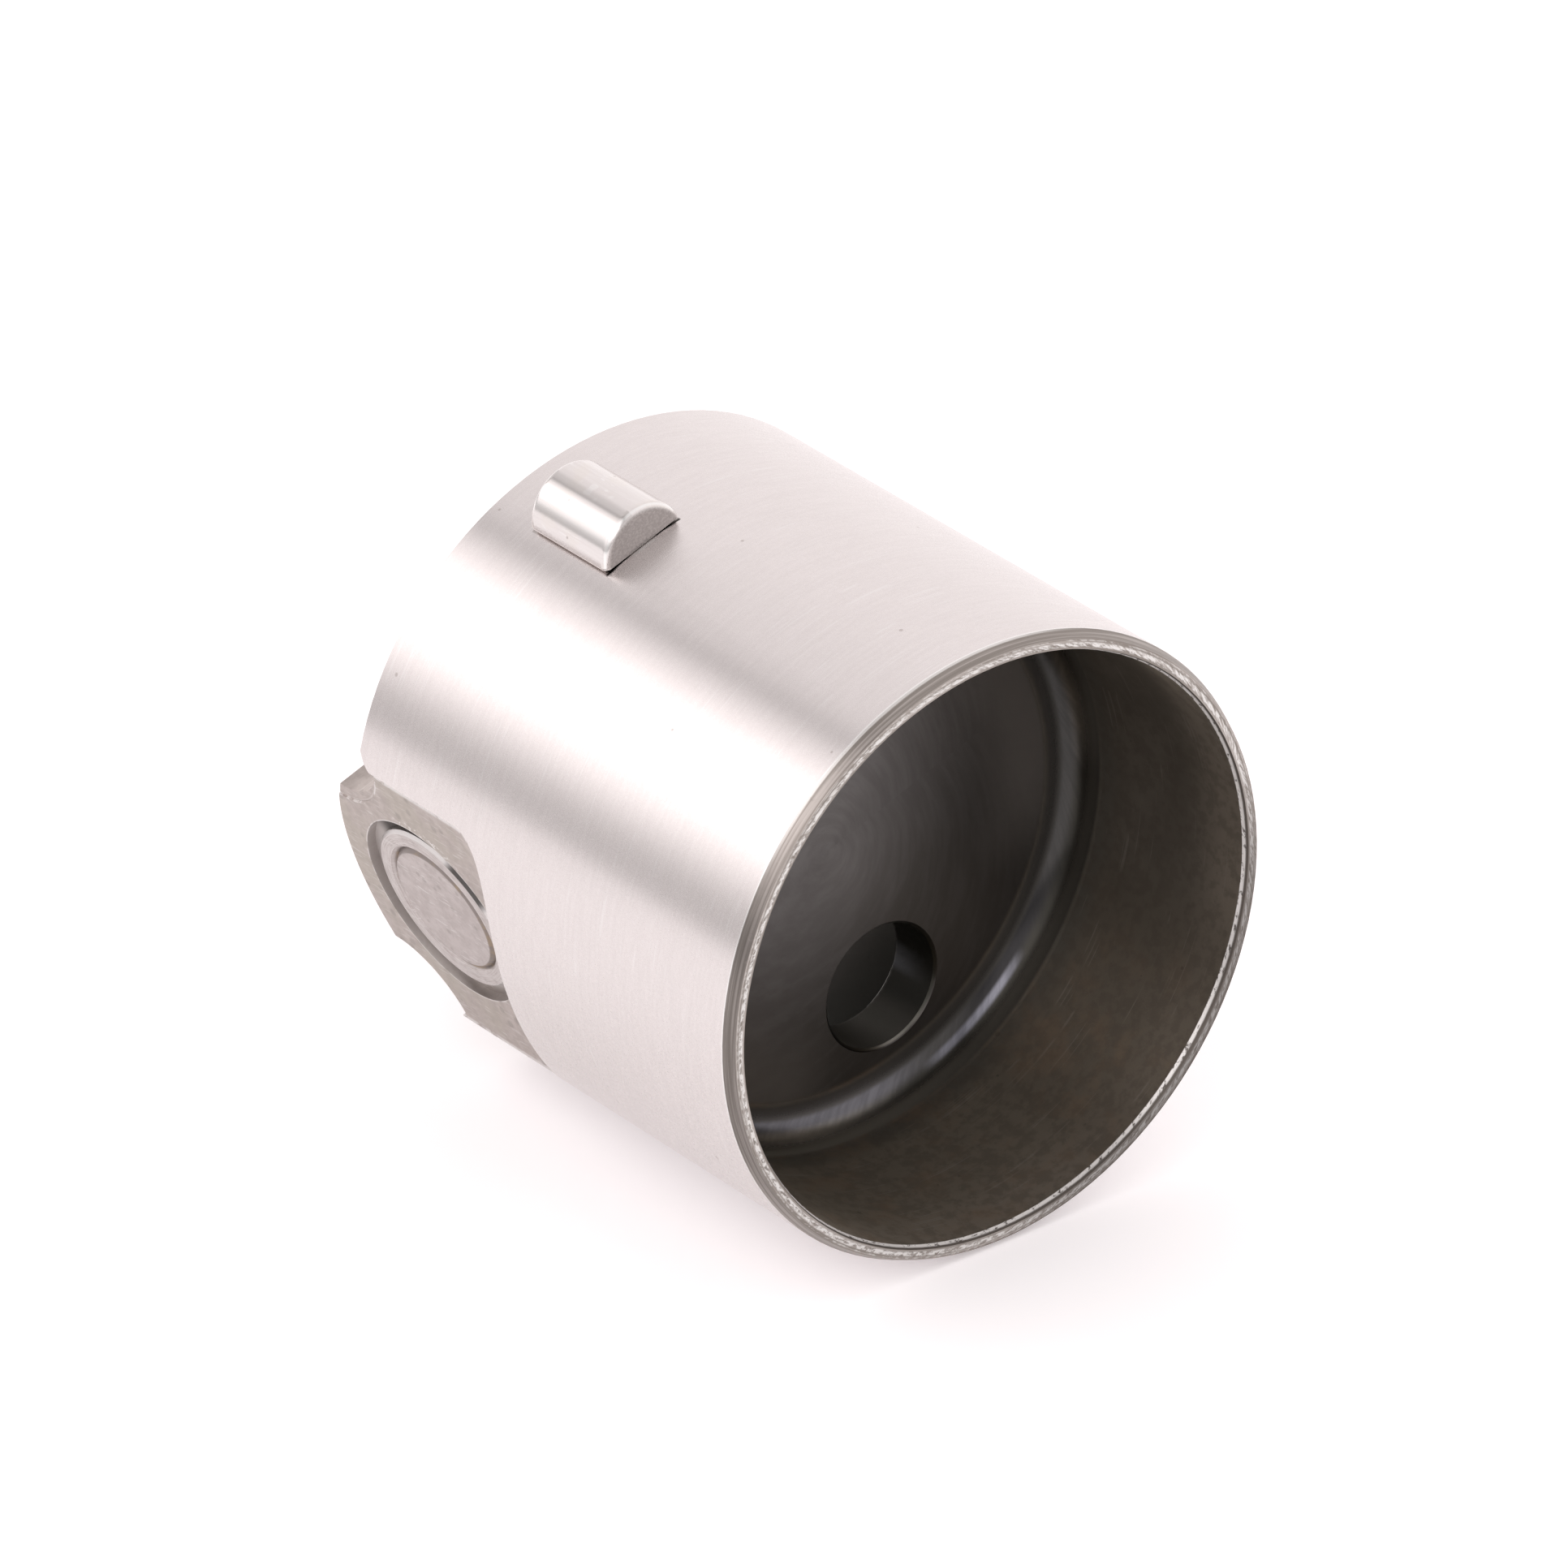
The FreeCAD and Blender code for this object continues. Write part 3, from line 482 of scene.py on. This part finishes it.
# What lies in shadow: the roller's pocket, the recess round the axle on the key's side,
# and the seat under the key
def paint_hollows(w, at, base):
    pocket = w.paint(w.fade(at.z, 17.0, 26.0), (0.083, 0.082, 0.072), (0.334, 0.307, 0.293))
    base = w.paint(at.pocket, base, pocket)
    base = paint_hole(w, at, base)
    recess = w.paint(w.fade(at.key_side, 0.38, 0.64), (0.510, 0.476, 0.461),
                     (0.085, 0.075, 0.070))
    base = w.paint(at.recess, base, recess)
    end_gap = w.all_of(w.fade(at.z, KEY_BOTTOM + 0.3, KEY_BOTTOM + 0.12),
                       w.fade(at.side, 0.25 * KEY_HALF_WIDTH, 0.45 * KEY_HALF_WIDTH))
    seat = w.paint(end_gap, (0.480, 0.440, 0.425), (0.040, 0.036, 0.032))
    return w.paint(at.under_key, base, seat)


# Sharp enough round the guide surface to mirror the lamp's edges, blurred along it
def bucket_roughness(w, at):
    polish = w.all_of(at.fillet, w.bend_fade(at.bend, 10.0, 34.0),
                      w.bend_fade(at.bend, 82.0, 66.0))
    on_floor = w.all_of(at.cup, w.fade(at.z, CUP_DEPTH - 0.12, CUP_DEPTH - 0.02))
    rough = w.scaled_sum(at.ground, -0.20, 0.47)
    rough = w.scaled_sum(polish, -0.25, rough)
    rough = w.scaled_sum(on_floor, -0.15, rough)
    rough = w.scaled_sum(w.any_of(at.rim_face, at.rim_slope), -0.08, rough)
    return w.scaled_sum(w.less(at.grain, 0.5), w.scaled_sum(at.ground, -0.022, 0.08), rough)


def bucket_relief(w, at):
    grinding = w.calc("ADD", at.lines, w.times(at.fine, 0.12))
    tumbling = w.scaled_sum(at.lumps, 0.8, w.times(at.dents, -0.4))
    smooth = w.any_of(at.ground, at.cup, at.rim_face)
    height = w.times(grinding, w.times(at.ground, 0.024))
    height = w.scaled_sum(w.less(1.0, smooth), tumbling, height)
    height = w.scaled_sum(at.marks, w.times(at.ground, -0.06), height)
    return w.scaled_sum(w.any_of(at.rim_slope, at.rim_face), w.times(at.turned, 0.5), height)


def bucket_steel():
    look, w = new_steel("bucket_steel")
    at = bucket_spot(w)
    mark_regions(w, at)
    stain = stain_tone(w, at)
    base = w.paint(at.ground, tumbled_tone(w, at), guide_tone(w, at))
    base = w.paint(at.cup, base, stain)
    base = w.paint(at.fillet, base, bend_tone(w, at, stain))
    base = w.paint(at.cup_floor, base, floor_tone(w, at))
    base = paint_rim(w, at, base)
    base = paint_hollows(w, at, base)
    w.steel(base, bucket_roughness(w, at), bucket_relief(w, at), depth=0.012, brushed=0.8)
    return look


dress("tappet_body", bucket_steel())


# The key: a bright drawn bar with a round back, cut to length and held in the
# bucket's wall by a short stem. It stops the bucket turning in its guide.
def key_steel():
    look, w = new_steel("key_steel")
    at = w.effect("place on the bucket")
    drawn = w.noise(w.stretch(at.mm, (5.0, 5.0, 0.25)), 1.0, 4.0, 0.6)
    grain = w.noise(at.mm, 9.0, 4.0, 0.7)
    cloud = w.noise(at.mm, 0.8, 3.0, 0.5)
    marks = w.effect("handling scratches", place=at.mm, size=1.5, share=0.30).mark
    dots = w.effect("specks", place=at.mm, spacing=1.2, width=0.12).mark
    end_on = w.calc("ABSOLUTE", at.nz)
    ends = w.fade(end_on, 0.80, 0.97)
    edges = w.band(end_on, 0.45, 0.75, 0.08)
    base = w.paint(w.fade(drawn, 0.3, 0.7), (0.711, 0.674, 0.666), (0.750, 0.717, 0.709))
    base = w.paint(w.fade(cloud, 0.5, 0.65), base, (0.726, 0.676, 0.617), 0.25)
    base = w.paint(marks, base, (0.844, 0.840, 0.833), 0.4)
    base = w.paint(dots, base, (0.294, 0.256, 0.236), 0.5)
    # painted reflections: a bright band on the flank and a dark band beside the crown
    base = w.paint(w.band(at.nx, 0.65, 0.78, 0.06), base, (0.970, 0.950, 0.940), 0.6)
    base = w.paint(w.band(at.nx, 0.03, 0.20, 0.07), base, (0.400, 0.380, 0.372), 0.42)
    sawn = w.paint(w.fade(grain, 0.4, 0.65), (0.425, 0.402, 0.392), (0.538, 0.514, 0.500))
    base = w.paint(ends, base, sawn)
    base = w.paint(edges, base, (0.883, 0.891, 0.884), 0.6)
    rough = w.scaled_sum(w.less(grain, 0.5), 0.06, w.scaled_sum(ends, 0.18, 0.17))
    height = w.scaled_sum(ends, w.times(grain, 0.6), w.times(drawn, 0.04))
    w.steel(base, rough, height, depth=0.01)
    return look


dress("alignment_key", key_steel())


# The axle: a hardened pin through both ears. Its ends are bare turned steel, and a
# ring punched into each end spreads the edge into the ear so that it can't walk out.
def axle_steel():
    ring_inner, ring_outer, rim, gap_shade_side = 3.22, 3.46, 4.30, -45.0
    look, w = new_steel("axle_steel")
    at = w.effect("place on the bucket")
    up = w.less(at.z, AXLE_HEIGHT)
    from_axle = w.distance(at.y, up)
    ring = w.band(from_axle, ring_inner - 0.02, ring_outer + 0.02, 0.04)
    lip = w.fade(from_axle, ring_outer, ring_outer + 0.1)
    edge = w.fade(from_axle, rim - 0.04, rim + 0.04)
    around = w.point(w.calc("ARCTAN2", up, at.y), from_axle, at.x)
    turned = w.noise(w.stretch(around, (1.2, 9.0, 1.0)), 3.0, 4.0, 0.65)
    lumps = w.noise(at.mm, 1.4, 6.0, 0.62)
    grain = w.noise(at.mm, 9.0, 4.0, 0.7)
    stain = w.noise(at.mm, 0.9, 4.0, 0.6)
    marks = w.effect("handling scratches", place=at.mm, size=1.3, share=0.36).mark
    dents = w.effect("specks", place=at.mm, spacing=0.8, width=0.30).mark
    base = w.paint(w.fade(lumps, 0.35, 0.65), (0.422, 0.374, 0.362), (0.500, 0.451, 0.440))
    base = w.paint(w.fade(turned, 0.5, 0.7), base, (0.608, 0.573, 0.565), 0.25)
    base = w.paint(marks, base, (0.687, 0.666, 0.658), 0.5)
    base = w.paint(dents, base, (0.275, 0.241, 0.226), 0.4)
    base = w.paint(w.times(lip, w.fade(turned, 0.40, 0.62)), base, (0.589, 0.553, 0.540))
    soiled = w.paint(w.fade(stain, 0.45, 0.62), (0.265, 0.233, 0.221), (0.334, 0.271, 0.211))
    base = w.paint(ring, base, soiled)
    base = w.paint(edge, base, (0.765, 0.748, 0.740), 0.7)
    # painted shade: a black band on one side of the pin's edge, for the gap between pin and ear
    gap_shade = w.all_of(w.fade(from_axle, rim - 0.10, rim - 0.02),
                   w.fade(w.facing(at.y, up, from_axle, gap_shade_side), 0.93, 0.98))
    base = w.paint(gap_shade, base, (0.050, 0.045, 0.042), 0.9)
    rough = w.scaled_sum(w.less(grain, 0.5), 0.12, 0.40)
    height = w.scaled_sum(dents, -0.5, lumps)
    w.steel(base, rough, height, depth=0.01)
    return look


dress("axle_pin", axle_steel())


# The roller: a bearing steel ring, ground and lapped bright, and darkened as painted shade, for
# the shade in its pocket.
# It runs on the cam, so its outside carries faint lines round it.
def roller_steel():
    look, w = new_steel("roller_steel")
    mm = w.effect("place on the bucket").mm
    lapped = w.noise(w.stretch(mm, (7.0, 0.12, 0.12)), 1.0, 4.0, 0.6)
    cloud = w.noise(mm, 0.25, 3.0, 0.5)
    base = w.paint(w.fade(lapped, 0.3, 0.7), (0.425, 0.402, 0.398), (0.485, 0.460, 0.455))
    base = w.paint(w.fade(cloud, 0.45, 0.65), base, (0.545, 0.518, 0.513), 0.3)
    rough = w.scaled_sum(w.less(cloud, 0.5), 0.10, 0.14)
    w.steel(base, rough, lapped, depth=0.0006)
    return look


dress("roller", roller_steel())


# The needles: seventeen fine bearing rods between the roller and the axle, lapped
# bright, each with rounded ends. They run loose in the grease.
def needle_steel():
    look, w = new_steel("needle_steel")
    mm = w.effect("place on the bucket").mm
    lapped = w.noise(w.stretch(mm, (0.6, 7.0, 7.0)), 1.5, 4.0, 0.6)
    base = w.paint(w.fade(lapped, 0.3, 0.7), (0.620, 0.590, 0.585), (0.740, 0.705, 0.700))
    rough = w.scaled_sum(w.less(lapped, 0.5), 0.08, 0.11)
    w.steel(base, rough, lapped, depth=0.001)
    return look


needle_look = needle_steel()
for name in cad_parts:
    if name.startswith("needle"):
        dress(name, needle_look)


# The camera: a long lens some way off, looking a little upwards into the cup.
# Its three directions and the distances along them place it, in metres.
def set_camera():
    data = bpy.data.cameras.new("camera")
    data.sensor_width = 36.0
    data.sensor_fit = "HORIZONTAL"
    data.lens = 344.42
    data.clip_start = 0.05
    data.clip_end = 20.0
    camera = bpy.data.objects.new("camera", data)
    bpy.context.scene.collection.objects.link(camera)
    right = Vector((-0.7352, -0.2679, -0.6227))
    down = Vector((0.5813, -0.7216, -0.3759))
    ahead = Vector((-0.3486, -0.6383, 0.6863))
    turn = Matrix((right, -down, -ahead)).transposed().to_quaternion().to_matrix().to_4x4()
    shift_right, shift_down, distance = 0.009765, 0.007563, 0.678718
    spot = -(right * shift_right + down * shift_down + ahead * distance)
    camera.matrix_world = Matrix.Translation(spot) @ turn
    bpy.context.scene.camera = camera


set_camera()


# The floors: white paper. The bucket lies on the first one in its photograph, and
# stands on the second one in the other views. Each is clear from its back.
def mix_shaders(w, share, first, second):
    pick = w.add("ShaderNodeMixShader")
    for socket, value in zip(pick.inputs, (share, first, second)):
        w.feed(socket, value)
    return pick.outputs[0]


def paper(name, centre, normal, half_side, glow):
    white = (0.86, 0.86, 0.86)
    glow_in_mirrors = 0.68
    across = normal.orthogonal().normalized()
    along = normal.cross(across)
    corners = [centre + across * (a * half_side) + along * (b * half_side)
               for a, b in ((-1, -1), (1, -1), (1, 1), (-1, 1))]
    mesh = bpy.data.meshes.new(name)
    mesh.from_pydata([tuple(corner) for corner in corners], [], [(0, 1, 2, 3)])
    mesh.update()
    if mesh.polygons[0].normal.dot(normal) < 0:
        mesh.flip_normals()
    sheet = bpy.data.objects.new(name, mesh)
    bpy.context.scene.collection.objects.link(sheet)
    look, w = new_steel(name + "_paper")
    matt = w.add("ShaderNodeBsdfDiffuse", Color=white)
    lift = w.add("ShaderNodeEmission", Color=glow)
    path = w.add("ShaderNodeLightPath")
    mirrored = w.times(path.outputs["Is Glossy Ray"], glow_in_mirrors)
    w.feed(lift.inputs["Strength"], w.calc("ADD", path.outputs["Is Camera Ray"], mirrored))
    both = w.add("ShaderNodeAddShader")
    w.feed(both.inputs[0], matt.outputs[0])
    w.feed(both.inputs[1], lift.outputs[0])
    clear = w.add("ShaderNodeBsdfTransparent")
    back = w.add("ShaderNodeNewGeometry").outputs["Backfacing"]
    out = w.add("ShaderNodeOutputMaterial")
    w.feed(out.inputs["Surface"], mix_shaders(w, back, both.outputs[0], clear.outputs[0]))
    mesh.materials.append(look)
    return sheet


lying_floor_normal = Vector((-0.3423, 0.9396, 0.0))
lying_floor_centre = lying_floor_normal * (-GUIDE_RADIUS / 1000.0) + Vector((0, 0, 0.05))
paper("lying_floor", lying_floor_centre, lying_floor_normal, half_side=0.28,
      glow=(0.27, 0.248, 0.258))
just_below_the_rim = Vector((0, 0, -0.0001))
standing_floor = paper("standing_floor", just_below_the_rim, Vector((0, 0, 1)), half_side=0.5,
                       glow=(0.22, 0.22, 0.22))
standing_floor.visible_diffuse = False
standing_floor.visible_glossy = False
standing_floor.visible_shadow = False


# The studio: one broad lamp overhead with dim edges, in a pale room. What the ground
# surface mirrors depends on the angle round its axis alone.
def light_studio():
    world = bpy.data.worlds.new("studio")
    bpy.context.scene.world = world
    world.use_nodes = True
    world.node_tree.nodes.clear()
    w = Wiring(world.node_tree)
    ahead = w.add("ShaderNodeTexCoord").outputs["Generated"]
    x, y, _ = w.add("ShaderNodeSeparateXYZ", Vector=ahead).outputs
    # counted from a direction behind the floor, so that the seam is never seen
    seam = math.radians(70.0)
    angle = w.times(w.calc("ADD", w.calc("ARCTAN2", y, x), seam), 180.0 / math.pi)
    angle = w.calc("FLOORED_MODULO", angle, 360.0)
    # degrees round the room and how bright it is there: the lamp, its dark edge, the wall
    room_light = [
        (0, 0.9), (70, 0.62), (90.5, 0.60), (97, 0.70), (103, 0.97), (108.5, 1.25),
        (120, 1.75), (147, 1.75), (151, 1.42), (157, 1.15), (161.5, 0.90),
        (163.5, 0.50), (167, 0.50), (169.5, 0.90),
        (176, 0.97), (190, 1.0), (208, 1.09), (228, 1.11), (248, 1.13), (268, 1.20),
        (290, 1.10), (360, 0.9)]
    brightest = 2.0
    warmth = (1.02, 0.976, 0.972)
    ramp = w.add("ShaderNodeValToRGB")
    w.feed(ramp.inputs[0], w.calc("DIVIDE", angle, 360.0))
    stops = ramp.color_ramp.elements
    while len(stops) > 1:
        stops.remove(stops[-1])
    for degrees, level in room_light:
        stop = stops.new(degrees / 360.0) if degrees else stops[0]
        stop.position = degrees / 360.0
        stop.color = tuple(level / brightest * part for part in warmth) + (1.0,)
    room = w.add("ShaderNodeBackground", Strength=brightest)
    w.feed(room.inputs["Color"], ramp.outputs[0])
    white = w.add("ShaderNodeBackground", Color=(1.0, 1.0, 1.0), Strength=1.0)
    seen = w.add("ShaderNodeLightPath").outputs["Is Camera Ray"]
    out = w.add("ShaderNodeOutputWorld")
    w.feed(out.inputs["Surface"], mix_shaders(w, seen, room.outputs[0], white.outputs[0]))


light_studio()
bpy.context.scene.view_settings.view_transform = "Standard"
